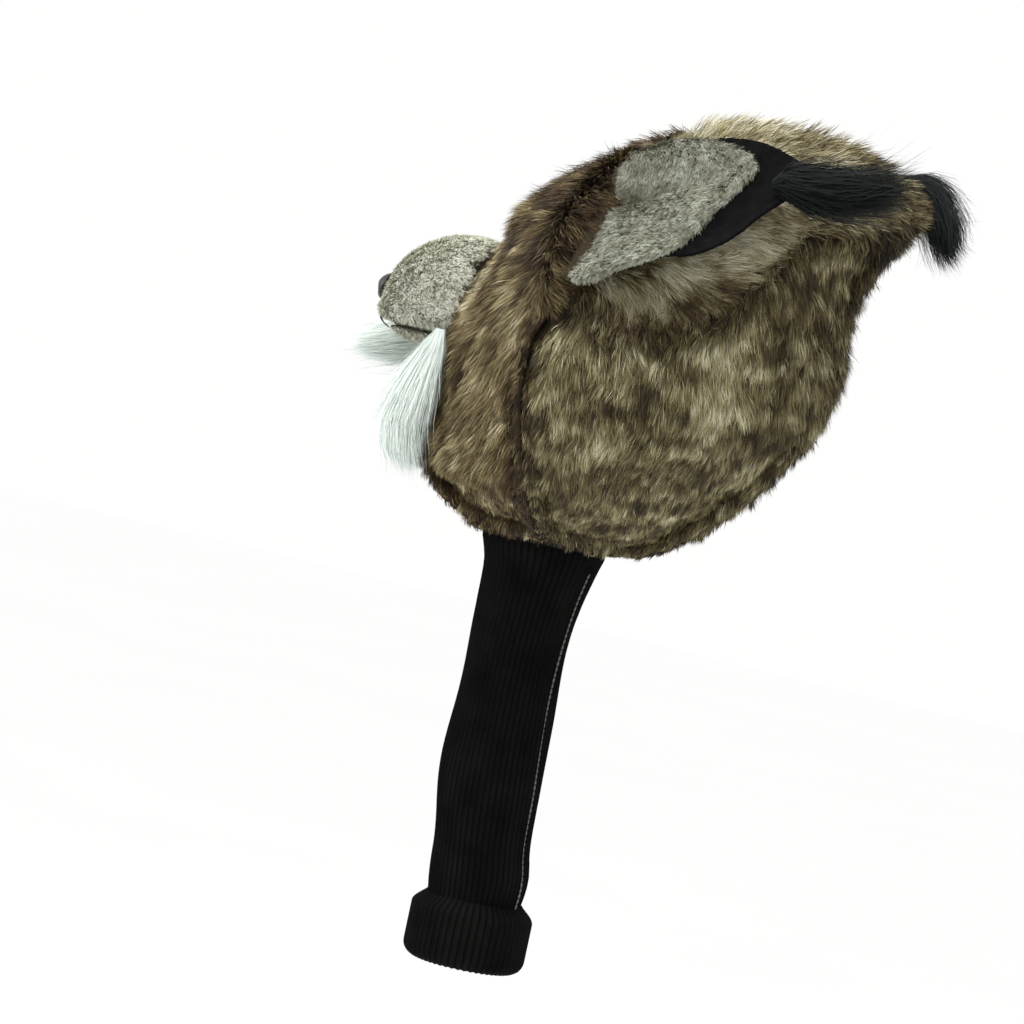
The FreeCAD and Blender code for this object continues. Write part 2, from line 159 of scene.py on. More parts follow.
def mesh_arrays(mesh):
    co = np.empty(len(mesh.vertices) * 3)
    mesh.vertices.foreach_get("co", co)
    normals = np.empty(len(mesh.vertices) * 3)
    mesh.vertex_normals.foreach_get("vector", normals)
    mesh.calc_loop_triangles()
    tris = np.empty(len(mesh.loop_triangles) * 3, int)
    mesh.loop_triangles.foreach_get("vertices", tris)
    return co.reshape(-1, 3), normals.reshape(-1, 3), tris.reshape(-1, 3)


def set_corners(mesh, co):
    mesh.vertices.foreach_set("co", np.ascontiguousarray(co, dtype=np.float32).ravel())
    mesh.update()


def unit(v):
    return v / np.maximum(np.linalg.norm(v, axis=-1, keepdims=True), 1e-12)


def fuzzy(points, size, seed=0.0):
    """Smooth noise from -1 to 1 at each point; size is its grain, one number or one per axis."""
    scaled = points / np.asarray(size) + seed
    return np.array([noise.noise(p) for p in scaled.tolist()])


def drawn(hairs):
    return hairs // 1


def smoothstep(low, high, x):
    t = np.clip((x - low) / (high - low), 0, 1)
    return t * t * (3 - 2 * t)


def distance_to(tree, points):
    return np.array([tree.find_nearest(p)[3] for p in points.tolist()])


# ---------------------------------------------------------------- materials
def linear(rgb):
    c = np.array(rgb) / 255.0
    out = np.where(c <= 0.04045, c / 12.92, ((c + 0.055) / 1.055) ** 2.4)
    return (*out.tolist(), 1.0)


class Shader:
    """A node material, built up link by link."""

    def __init__(self, name, rough=0.8, specular=0.3):
        self.material = bpy.data.materials.new(name)
        self.material.use_nodes = True
        self.tree = self.material.node_tree
        self.bsdf = self.tree.nodes["Principled BSDF"]
        self.bsdf.inputs["Roughness"].default_value = rough
        self.bsdf.inputs["Specular IOR Level"].default_value = specular

    def node(self, kind, **values):
        made = self.tree.nodes.new(kind)
        for key, value in values.items():
            if key in made.inputs:
                made.inputs[key].default_value = value
            else:
                setattr(made, key, value)
        return made

    def link(self, a, b):
        self.tree.links.new(a, b)

    def ramp(self, source, stops):
        made = self.node("ShaderNodeValToRGB")
        elements = made.color_ramp.elements
        while len(elements) < len(stops):
            elements.new(0.5)
        for element, (at, colour) in zip(elements, stops):
            element.position, element.color = at, colour
        self.link(source, made.inputs["Fac"])
        return made.outputs["Color"]

    def noise(self, size, detail=3.0, stretch=(1, 1, 1), coords="Object"):
        place = self.node("ShaderNodeTexCoord")
        mapping = self.node("ShaderNodeMapping")
        mapping.inputs["Scale"].default_value = stretch
        self.link(place.outputs[coords], mapping.inputs["Vector"])
        made = self.node("ShaderNodeTexNoise", Scale=1.0 / size, Detail=detail)
        self.link(mapping.outputs["Vector"], made.inputs["Vector"])
        return made.outputs["Fac"]

    def math(self, operation, a, b=None):
        made = self.node("ShaderNodeMath", operation=operation)
        for n, value in enumerate((a, b)):
            if value is None:
                continue
            if isinstance(value, (int, float)):
                made.inputs[n].default_value = value
            else:
                self.link(value, made.inputs[n])
        return made.outputs[0]

    def mix(self, factor, a, b, blend="MIX"):
        made = self.node("ShaderNodeMix", data_type="RGBA", blend_type=blend)
        for socket, value in ((made.inputs[0], factor), (made.inputs[6], a), (made.inputs[7], b)):
            if isinstance(value, (int, float)):
                socket.default_value = value
            elif isinstance(value, tuple):
                socket.default_value = value
            else:
                self.link(value, socket)
        return made.outputs[2]

    def bump(self, height, strength, depth):
        made = self.node("ShaderNodeBump", Strength=strength, Distance=depth)
        self.link(height, made.inputs["Height"])
        if self.bsdf.inputs["Normal"].is_linked:
            self.link(self.bsdf.inputs["Normal"].links[0].from_socket, made.inputs["Normal"])
        self.link(made.outputs["Normal"], self.bsdf.inputs["Normal"])

    def colour(self, socket):
        self.link(socket, self.bsdf.inputs["Base Color"])
        return self.material


def hair_material(name, tones, shade, rough=0.62, specular=0.28):
    """Colour from the hair's own map: u is its tone, v runs from root to tip. The shade list is painted shade
    along v, darkest at the root, with at most a little painted light at the tip.
    """
    s = Shader(name, rough, specular)
    uv = s.node("ShaderNodeUVMap", uv_map="OFBake")
    parts = s.node("ShaderNodeSeparateXYZ")
    s.link(uv.outputs["UV"], parts.inputs[0])
    tone = s.ramp(parts.outputs["X"], [(at, linear(rgb)) for at, rgb in tones])
    along = s.ramp(parts.outputs["Y"], [(at, (k, k, k, 1)) for at, k in shade])
    return s.colour(s.mix(1.0, tone, along, "MULTIPLY"))


def cloth_material(name, dark, light, grain, rough=0.9, specular=0.2, bump=0.3, depth=0.3 * MM):
    s = Shader(name, rough, specular)
    patches = s.noise(grain * 8, 2.0)
    fine = s.noise(grain, 4.0)
    both = s.math("ADD", s.math("MULTIPLY", patches, 0.5), s.math("MULTIPLY", fine, 0.5))
    s.bump(fine, bump, depth)
    return s.colour(s.ramp(both, [(0.3, linear(dark)), (0.7, linear(light))]))


# painted shade: each hair darkens towards its root and brightens a touch at its tip
ROOT_SHADE = [(0.0, 0.30), (0.25, 0.55), (0.6, 0.95), (1.0, 1.05)]
back_fur = hair_material("fur_back_pile", [(0.0, (30, 22, 10)), (0.28, (65, 53, 28)), (0.52, (114, 103, 67)),
                                           (0.76, (164, 157, 118)), (1.0, (214, 208, 176))], ROOT_SHADE)
face_fur = hair_material("fur_face_pile", [(0.0, (34, 23, 9)), (0.28, (68, 50, 25)), (0.52, (108, 93, 58)),
                                           (0.76, (152, 139, 100)), (1.0, (212, 202, 170))], ROOT_SHADE)
crown_fur = hair_material("fur_crown_pile", [(0.0, (48, 35, 18)), (0.28, (90, 75, 46)),
                                             (0.52, (142, 131, 95)), (0.76, (186, 180, 149)),
                                             (1.0, (222, 217, 194))], ROOT_SHADE)
# the second list of each hair material below is painted shade as well, darkest at the hair's root
plush_pile = hair_material("grey_plush_pile", [(0.0, (84, 78, 62)), (0.5, (140, 140, 122)),
                                               (1.0, (190, 194, 180))],
                           [(0.0, 0.42), (0.4, 0.8), (1.0, 1.1)], 0.7, 0.2)
white_hair = hair_material("white_hair", [(0.0, (182, 194, 188)), (0.5, (218, 228, 221)),
                                          (1.0, (244, 248, 244))],
                           [(0.0, 0.8), (0.5, 1.0), (1.0, 1.0)], 0.45, 0.35)
black_hair = hair_material("black_hair", [(0.0, (4, 6, 6)), (0.6, (14, 20, 20)), (1.0, (46, 56, 54))],
                           [(0.0, 0.7), (1.0, 1.1)], 0.45, 0.14)
backing_cloth = cloth_material("fur_backing", (30, 24, 15), (58, 48, 32), 1.2 * MM)
muzzle_pile = hair_material("muzzle_plush_pile", [(0.0, (128, 120, 100)), (0.5, (196, 196, 178)),
                                                  (1.0, (232, 234, 220))],
                            [(0.0, 0.55), (0.4, 0.85), (1.0, 1.1)], 0.7, 0.2)
plush_cloth = cloth_material("grey_plush_backing", (80, 78, 66), (108, 106, 92), 1.0 * MM)
felt_cloth = cloth_material("black_felt", (5, 5, 5), (17, 17, 17), 0.6 * MM, 0.95, 0.04, 0.5)
lining_cloth = cloth_material("lining", (12, 12, 14), (24, 24, 27), 0.8 * MM, 0.6, 0.3)
wadding_cloth = cloth_material("wadding", (200, 198, 188), (232, 230, 222), 2.0 * MM)
tape_cloth = cloth_material("tape", (8, 8, 8), (20, 20, 20), 0.5 * MM)
thread_cloth = cloth_material("black_thread", (6, 6, 6), (20, 19, 18), 0.4 * MM, 0.6, 0.3)
seam_cloth = cloth_material("seam_thread", (52, 58, 52), (98, 106, 97), 0.6 * MM, 0.7, 0.3)
nose_cloth = cloth_material("nose_leather", (9, 8, 8), (30, 27, 26), 0.9 * MM, 0.42, 0.45, 0.45, 0.2 * MM)
elastic_cloth = cloth_material("elastic", (18, 18, 18), (34, 34, 34), 0.6 * MM)
washer_plastic = cloth_material("washer_plastic", (196, 194, 186), (214, 212, 204), 1.5 * MM, 0.5, 0.4, 0.05)


def dress(obj, material, body=None, slot=None, replaces=()):
    obj.data.materials.clear()
    obj.data.materials.append(material)
    if body:
        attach(obj, body)
    if replaces:
        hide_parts(*replaces)
    return obj


# ---------------------------------------------------------------- hair
def sample(co, tris, weight, count):
    """Random places on a mesh: corners' shares in each, so that any corner value can be read there."""
    a, b, c = co[tris[:, 0]], co[tris[:, 1]], co[tris[:, 2]]
    area = np.linalg.norm(np.cross(b - a, c - a), axis=1) * weight[tris].mean(axis=1)
    pick = rng.choice(len(tris), count, p=area / area.sum())
    r1, r2 = np.sqrt(rng.random(count)), rng.random(count)
    shares = np.stack([1 - r1, r1 * (1 - r2), r1 * r2], 1)[:, :, None]
    at = tris[pick]

    def read(values):
        v = values if values.ndim > 1 else values[:, None]
        mixed = (v[at] * shares).sum(axis=1)
        return mixed if values.ndim > 1 else mixed[:, 0]

    return read


def clumps(points, size):
    """Which lock each hair belongs to."""
    cell = np.floor((points + rng.normal(0, 0.22 * size, points.shape)) / size).astype(np.int64)
    key = cell[:, 0] * 73856093 ^ cell[:, 1] * 19349663 ^ cell[:, 2] * 83492791
    _, lock = np.unique(key, return_inverse=True)
    return lock


def lock_mean(values, lock):
    count = np.bincount(lock)
    return np.stack([np.bincount(lock, values[:, n]) / count for n in range(values.shape[1])], 1)[lock]


def ribbons(name, path, facing, width, tone, body, material, slot):
    """Hairs as tapered ribbons. path is hairs x points x 3, facing the way each one shows its flat."""
    hairs, points = path.shape[:2]
    made = []
    for first in range(0, hairs, MOST_HAIRS):
        part = slice(first, min(first + MOST_HAIRS, hairs))
        p, n, w, u = path[part], facing[part], width[part], tone[part]
        count = len(p)
        along = unit(np.gradient(p, axis=1))
        turn = rng.normal(0, 0.55, count).clip(-1.1, 1.1)[:, None, None]
        across = unit(np.cross(along, n[:, None]))
        flat = np.cross(across, along)
        across, flat = (across * np.cos(turn) + flat * np.sin(turn),
                        flat * np.cos(turn) - across * np.sin(turn))
        t = np.linspace(0, 1, points)
        half = (w[:, None] * (1 - HAIR_TAPER * t[None, :]) / 2)[:, :, None]
        left, right = p - across * half, p + across * half
        corners = np.concatenate([np.stack([left[:, :-1], right[:, :-1]], 2).reshape(count, -1, 3),
                                  p[:, -1:]], 1)
        bend = 0.5
        up = unit(n[:, None] * 0.75 + flat * 0.45)
        shade = np.concatenate([np.stack([up[:, :-1] - across[:, :-1] * bend,
                                          up[:, :-1] + across[:, :-1] * bend], 2).reshape(count, -1, 3),
                                up[:, -1:]], 1)
        stem = points - 1
        one = []
        for k in range(stem - 1):
            one += [2 * k, 2 * k + 1, 2 * k + 3, 2 * k + 2]
        one += [2 * stem - 2, 2 * stem - 1, 2 * stem]
        one = np.array(one)
        each = 2 * stem + 1
        loops = (one[None, :] + np.arange(count)[:, None] * each).ravel()
        first_loop = np.arange(stem) * 4
        starts = (first_loop[None, :] + np.arange(count)[:, None] * len(one)).ravel()
        label = name if hairs <= MOST_HAIRS else f"{name}_{first // MOST_HAIRS + 1}"
        mesh = make_mesh(label, corners.reshape(-1, 3), loops, starts)
        v = np.append(np.repeat(t[:-1], 2), 1.0)[one]
        side = np.append(np.tile([-0.01, 0.01], stem), 0.0)[one]
        uv = np.empty((count, len(one), 2), np.float32)
        uv[:, :, 0] = np.clip(u[:, None] + side[None, :], 0.002, 0.998)
        uv[:, :, 1] = v[None, :]
        layer = mesh.uv_layers.new(name="OFBake")
        layer.data.foreach_set("uv", uv.ravel())
        mesh.normals_split_custom_set_from_vertices(unit(shade.reshape(-1, 3)))
        obj = add_object(label, mesh)
        made.append(dress(obj, material, body, slot))
    return made


def grow(name, read, co, normals, flow, length, tone, body, material, slot, width, lift, lock_size,
         pull=0.5, wild=0.16, points=4, lock_tone=0.12, hair_tone=0.13):
    """Hairs that stand up from the cloth at lift[0] and lie over to lift[1] degrees, drawn into locks."""
    root, n = read(co), unit(read(normals))
    lie = read(flow)
    lie = unit(lie - n * (lie * n).sum(1, keepdims=True))
    count = len(root)
    size = read(length) * rng.uniform(0.72, 1.15, count)
    lock = clumps(root, lock_size)
    locks = lock.max() + 1
    lean = rng.normal(0, 0.11, (locks, 3))[lock] + rng.normal(0, wild, (count, 3))
    path = np.empty((count, points, 3))
    path[:, 0] = root
    raise_by = rng.normal(0, 7, locks)[lock] + rng.normal(0, 6, count)
    for k in range(1, points):
        t = k / (points - 1)
        angle = np.radians(np.clip(lift[0] + (lift[1] - lift[0]) * t ** 0.7 + raise_by, 2, 85))[:, None]
        step = unit(lie * np.cos(angle) + n * np.sin(angle) + lean * (0.5 + t))
        path[:, k] = path[:, k - 1] + step * (size / (points - 1))[:, None]
    for k in range(1, points):
        t = k / (points - 1)
        path[:, k] += (lock_mean(path[:, k], lock) - path[:, k]) * pull * t ** 1.3
    shade = read(tone) + rng.normal(0, lock_tone, locks)[lock] + rng.normal(0, hair_tone, count)
    widths = width * rng.uniform(0.7, 1.2, count)
    ribbons(name, path, n, widths, np.clip(shade, *TONE_RANGE), body, material, slot)


# ---------------------------------------------------------------- head fur
fur_low = np.min([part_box(n)[0] for n in FUR_NODES], axis=0)
fur_high = np.max([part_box(n)[1] for n in FUR_NODES], axis=0)
fur_size = fur_high - fur_low


def head_axis(co):
    """The point inside the head that each place on it looks away from."""
    s = np.clip((co[:, 2] - fur_low[2]) / fur_size[2], 0, 1)
    inner = np.zeros_like(co)
    inner[:, 1] = fur_low[1] + fur_size[1] * (0.335 + 0.355 * s)
    inner[:, 2] = fur_low[2] + fur_size[2] * np.clip(s, 0.28, 0.72)
    return inner


eye_middles = {side: np.mean(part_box("eye_" + side), axis=0) for side in ("left", "right")}
EARS = {j["child"]: j for j in frame["joints"] if j["child"].endswith("_ear")}
SINK = 6.5 * MM             # how far the cloth lies under the mean height of the pile
DEEPEST = 9.5 * MM          # deeper than this, the wadding would show through
EAR_SINK = 5.5              # mm that an ear's base is pressed into the pile
BROW_REACH = 34 * MM        # each way along an ear's seam, which ends 30 mm from its middle


def ear_frame(side):
    joint = EARS[side + "_ear"]
    middle = np.array(joint["pos_m"])
    along = unit(np.array(joint["axis"]))
    along = along if along[2] > 0 else -along
    felt, _ = world_mesh("ear_felt_" + side)
    tip = felt[np.argmax(np.linalg.norm(felt - middle, axis=1))]
    reach = tip - middle
    out = unit(reach - along * (reach @ along))
    normal = np.cross(along, out)
    normal = normal if normal[0] * middle[0] > 0 else -normal
    return middle, along, out, normal, np.linalg.norm(reach)


def ear_seam_gap(co):
    """Distance from the nearer ear's base seam, and whether the place lies in front of it."""
    gap, past = np.full(len(co), 1.0), np.zeros(len(co))
    for side in ("left", "right"):
        middle, along, out, _, _ = ear_frame(side)
        t = np.clip((co - middle) @ along, -BROW_REACH, BROW_REACH)
        near = np.linalg.norm(co - middle - t[:, None] * along, axis=1)
        nearer = near < gap
        gap = np.where(nearer, near, gap)
        past = np.where(nearer, smoothstep(6 * MM, -4 * MM, (co - middle) @ out), past)
    return gap, past


def height_share(co):
    return (co[:, 2] - fur_low[2]) / fur_size[2]


def nap(co, kind):
    """The way the pile lies: down the sides, back over the crown, forwards off the brow."""
    s, side = height_share(co), np.sign(co[:, 0])
    down = np.stack([0 * s, 0 * s + (0.16 if kind == "back" else -0.10), 0 * s - 1.0], 1)
    back = np.stack([0.30 * side, 0 * s + 1.0, 0 * s + 0.10], 1)
    ahead = np.stack([0.10 * side, 0 * s - 0.75, 0 * s - 0.85], 1)
    if kind == "crown":
        over = smoothstep(0.46, 0.72, s)[:, None]
        return unit(down * (1 - over) + back * over)
    if kind == "back":
        over = 0.45 * smoothstep(0.55, 0.80, s)[:, None]
        return unit(down * (1 - over) + back * over)
    if kind == "face":
        over = smoothstep(0.45, 0.85, s)[:, None]
        return unit(down * (1 - over) + ahead * over)
    return down


def print_tone(co, kind):
    """The fur's mottled print, from dark 0 to pale 1."""
    s = height_share(co)
    y = (co[:, 1] - fur_low[1]) / fur_size[1]
    fine = fuzzy(co, (7 * MM, 6 * MM, 10 * MM), 3.1)
    broad = fuzzy(co, 30 * MM, 8.4)
    if kind == "back":
        bands = fuzzy(co, (20 * MM, 22 * MM, 7 * MM), 1.7)
        dark_rear = smoothstep(0.55, 1.0, y) * smoothstep(0.35, 0.75, s) * 0.16
        return 0.48 + 0.40 * bands + 0.28 * fine + 0.18 * broad - dark_rear
    if kind == "face":
        streaks = fuzzy(co, (8 * MM, 7 * MM, 22 * MM), 5.2)
        brow = smoothstep(0.55, 0.68, s) * smoothstep(0.98, 0.80, s) * smoothstep(0.12, 0.30, y)
        edge = smoothstep(0.20, 0.06, y) * smoothstep(0.38, 0.50, s)
        return 0.46 + 0.40 * streaks + 0.28 * fine - 0.22 * brow + 0.42 * edge
    if kind == "crown":
        patches = fuzzy(co, (16 * MM, 20 * MM, 14 * MM), 2.2)
        rear = smoothstep(0.62, 0.95, y)
        low = smoothstep(0.75, 0.50, s)
        streaks = fuzzy(co, (9 * MM, 16 * MM, 9 * MM), 14.0) * low
        return 0.80 + 0.40 * patches + 0.22 * fine + 0.56 * streaks - 0.46 * rear - 0.60 * low
    return 0.42 + 0.2 * fine


PANELS = {
    "fur_face": dict(kind="face", pile=13.0, hairs=66000, lift=(50, 12), material=face_fur),
    "fur_back": dict(kind="back", pile=13.5, hairs=112000, lift=(46, 10), material=back_fur),
    "fur_crown": dict(kind="crown", pile=15.5, hairs=60000, lift=(50, 20), material=crown_fur),
}
jobs = [(f"{stem}_{side}", spec) for stem, spec in PANELS.items() for side in ("left", "right")]
jobs.append(("fur_throat", dict(kind="throat", pile=12.0, hairs=12000, lift=(50, 10), material=face_fur)))
# the panels whose seam pulls the fur into a deep groove
DEEP = {("face", "back"), ("back", "face"), ("face", "crown"), ("crown", "face")}


def kind_of(node):
    return node.split("_")[1]


for node, spec in jobs:
    cloth = soft_copy(node + "_cloth", [node], 2.6 * MM, 2)
    co, normals, tris = mesh_arrays(cloth.data)
    out = unit(co - head_axis(co))
    outer = smoothstep(0.25, 0.6, (normals * out).sum(1))
    other = tree_of([n for n in FUR_NODES if n != node])
    sewn_deep = [n for n in FUR_NODES if (kind_of(node), kind_of(n)) in DEEP] or FUR_NODES[-1:]
    groove = np.exp(-(distance_to(tree_of(sewn_deep), co) / (5.5 * MM)) ** 2)
    if spec["kind"] == "throat":
        groove *= 0
    soft = 0.45 * np.exp(-(distance_to(other, co) / (4.0 * MM)) ** 2)
    groove = np.maximum(groove, soft)
    if spec["kind"] == "crown":
        groove *= 0.55
    # the cloth sinks under its pile, deeper at seams, at the underside and on top
    lumps = fuzzy(co, 26 * MM, 4.0) * 1.6 + fuzzy(co, 11 * MM, 9.0) * 0.5
    under = smoothstep(0.15, 0.75, -normals[:, 2])
    above = smoothstep(0.35, 0.85, normals[:, 2])
    depth = SINK + (3.2 * groove - lumps + 3.0 * under + 4.0 * above) * MM
    depth = np.minimum(depth, DEEPEST)
    if spec["kind"] == "face":
        seam_gap, past = ear_seam_gap(co)
        depth -= 8.0 * MM * smoothstep(34 * MM, 15 * MM, seam_gap) * past
    depth *= outer
    set_corners(cloth.data, co - normals * depth[:, None])
    dress(cloth, backing_cloth, "head", "fur", [node])
    co, normals, tris = mesh_arrays(cloth.data)
    # the pile is short round the eyes, in the seams and under the head, and long on the brow's roll
    eye_gap = np.min([np.linalg.norm(co - m, axis=1) for m in eye_middles.values()], axis=0)
    short = smoothstep(9 * MM, 24 * MM, eye_gap) * 0.72 + 0.28
    under = smoothstep(0.15, 0.75, -normals[:, 2])
    length = spec["pile"] * MM * (1 - 0.45 * groove) * short * (1 + 0.16 * fuzzy(co, 18 * MM, 6.0))
    length *= (1 - 0.45 * under) * (1 - 0.45 * smoothstep(0.20, 0.02, height_share(co)))
    seam_gap, past = ear_seam_gap(co)
    brow = smoothstep(30 * MM, 16 * MM, seam_gap) * past * (spec["kind"] == "face")
    length *= 1 + 0.45 * brow
    # painted shade: the fur's tone is darkened in the seams' grooves
    tone = print_tone(co, spec["kind"]) - 0.22 * groove
    swirl = (fuzzy(co, 22 * MM, 12.0) * 0.55)[:, None]
    # it lies along the nap, back over the ears from the brow, and inwards under the head
    lie = nap(co, spec["kind"])
    side = np.sign(co[:, 0])
    backwards = unit(np.stack([0.5 * side, 0 * side + 0.9, 0 * side - 0.35], 1))
    lie = unit(lie * (1 - brow[:, None]) + backwards * brow[:, None])
    inwards = unit(np.stack([-co[:, 0], 5 * MM - co[:, 1], 0 * side - 0.004], 1))
    below = smoothstep(0.10, 0.75, -normals[:, 2])[:, None]
    lie = unit(lie * (1 - below) + inwards * below)
    flow = unit(lie + np.cross(normals, lie) * swirl)
    weight = np.where(outer > 0.5, 1.0, 0.0) + NEVER_ZERO
    read = sample(co, tris, weight, drawn(spec["hairs"]))
    grow(node + "_pile", read, co, normals, flow, length, tone, "head", spec["material"], "fur",
         0.36 * MM, spec["lift"], 2.8 * MM, pull=0.40, wild=0.11)

# ---------------------------------------------------------------- muzzle
mouth_tree = tree_of(["mouth_stitching", "nose"])
MUZZLE_NODES = [n for n in frame["nodes"] if n.startswith("muzzle_") and n != "muzzle_filling"]
for node in MUZZLE_NODES:
    cloth = soft_copy(node + "_cloth", [node], 1.6 * MM, 3)
    co, normals, tris = mesh_arrays(cloth.data)
    middle = np.mean(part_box("muzzle_filling"), axis=0)
    outer = smoothstep(0.2, 0.6, (normals * unit(co - middle)).sum(1))
    rest = tree_of([n for n in MUZZLE_NODES if n != node])
    groove = np.exp(-(distance_to(rest, co) / (2.4 * MM)) ** 2)
    set_corners(cloth.data, co - normals * ((1.6 * MM + 1.0 * MM * groove) * outer)[:, None])
    dress(cloth, plush_cloth, "head", "grey_plush", [node])
    co, normals, tris = mesh_arrays(cloth.data)
    clear = smoothstep(1.0 * MM, 3.5 * MM, distance_to(mouth_tree, co))
    length = 3.6 * MM * (1 - 0.4 * groove) * (0.35 + 0.65 * clear)
    # painted shade: the plush's tone is darkened in the grooves between the muzzle panels
    tone = 0.60 + 0.22 * fuzzy(co, 7 * MM, 2.0) + 0.30 * fuzzy(co, 2.2 * MM, 5.0) - 0.22 * groove
    lie = np.tile([0.0, 0.85, -0.45], (len(co), 1)) + fuzzy(co, 12 * MM, 7.0)[:, None] * [0.5, 0.0, 0.3]
    read = sample(co, tris, outer * clear + NEVER_ZERO, drawn(MUZZLE_HAIRS))
    grow(node + "_pile", read, co, normals, lie, length, tone, "head", muzzle_pile, "grey_plush",
         0.45 * MM, (72, 25), 1.6 * MM, pull=0.55, wild=0.45, points=3)

nose = soft_copy("nose_leather", ["nose"], 0.7 * MM, 4)
co, normals, _ = mesh_arrays(nose.data)
nose_low, nose_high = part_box("nose")
nose_mid = (np.array(nose_low) + np.array(nose_high)) / 2
for side in (1, -1):
    hole = nose_mid + [side * 5.2 * MM, -2.5 * MM, -1.6 * MM]
    gap = np.linalg.norm((co - hole) / [1.2, 1.0, 0.8], axis=1)
    co -= normals * (1.8 * MM * np.exp(-(gap / (2.3 * MM)) ** 2))[:, None]
set_corners(nose.data, co)
dress(nose, nose_cloth, "head", "nose_leather", ["nose"])
mouth = soft_copy("mouth_thread", ["mouth_stitching"], 0.35 * MM, 1)
dress(mouth, thread_cloth, "head", "black_thread", ["mouth_stitching"])

# ---------------------------------------------------------------- eyes
DOME_RADIUS = 8.5 * MM
DOME_HEIGHT = 5.5 * MM      # from the dome's widest part to its front
FLANGE = 2.2 * MM           # how far the flange reaches past the dome


for side, sign in (("left", 1), ("right", -1)):
    co, _ = world_mesh("eye_" + side)
    axis = unit(np.array([0.36 * sign, -0.92, 0.12]))
    front = co[np.argmax(co @ axis)]
    s = Shader("eye_" + side, 0.12, 0.6)
    place = s.node("ShaderNodeTexCoord")
    apart = s.node("ShaderNodeVectorMath", operation="SUBTRACT")
    s.link(place.outputs["Object"], apart.inputs[0])
    apart.inputs[1].default_value = front.tolist()
    turned = s.node("ShaderNodeVectorMath", operation="CROSS_PRODUCT")
    s.link(apart.outputs[0], turned.inputs[0])
    turned.inputs[1].default_value = axis.tolist()
    radius = s.node("ShaderNodeVectorMath", operation="LENGTH")
    s.link(turned.outputs[0], radius.inputs[0])
    share = s.math("DIVIDE", radius.outputs["Value"], DOME_RADIUS)
    streak = s.noise(0.9 * MM, 2.0)
    wobbled = s.math("ADD", share, s.math("MULTIPLY", s.math("SUBTRACT", streak, 0.5), 0.08))
    iris = s.ramp(wobbled, [(0.0, linear((4, 4, 4))), (0.36, linear((5, 5, 5))),
                            (0.41, linear((120, 76, 14))), (0.70, linear((206, 150, 44))),
                            (0.84, linear((90, 52, 10))), (0.92, linear((8, 6, 5)))])
    s.bsdf.inputs["Coat Weight"].default_value = 0.8
    s.bsdf.inputs["Coat Roughness"].default_value = 0.05
    eye = soft_copy("eye_dome_" + side, ["eye_" + side], 0.5 * MM, 3)
    spots = mesh_arrays(eye.data)[0]
    height = (spots - front) @ axis + DOME_HEIGHT
    spread = spots - front - ((spots - front) @ axis)[:, None] * axis
    flange = smoothstep(3.0 * MM, 0.8 * MM, height) * smoothstep(-1.2 * MM, -0.4 * MM, height)
    set_corners(eye.data, spots + unit(spread) * (FLANGE * flange)[:, None])
    dress(eye, s.colour(iris), "head", "eye_plastic", ["eye_" + side])

# ---------------------------------------------------------------- ears
def ear_fold(co, side):
    """How far the ear's leaf is pushed out: a deep fold from the seam, a plump upper lobe, a rolled edge."""
    middle, along, out, normal, size = ear_frame(side)
    s, t = (co - middle) @ out / size, (co - middle) @ along / size
    crease = (t - (0.10 + 0.32 * s)) / 0.045
    fold = -5.0 * np.exp(-crease ** 2) * smoothstep(0.52, 0.05, s)
    lobe = 4.5 * np.exp(-((t - 0.30 - 0.2 * s) / 0.10) ** 2) * smoothstep(0.70, 0.25, s)
    rolled = 2.5 * smoothstep(0.10, 0.02, np.abs((s - 0.50) - 0.35 * (t + 0.05))) * smoothstep(0.45, 0.15, t)
    waves = 0.9 * fuzzy(co, 20 * MM, 15.0)
    sunk = -EAR_SINK * smoothstep(0.45, 0.05, s)
    drawn_in = np.where(t > 0.1, (0.1 - t) * 0.14, 0.0) * size
    return ((fold + lobe + rolled + waves + sunk) * MM)[:, None] * normal + drawn_in[:, None] * along


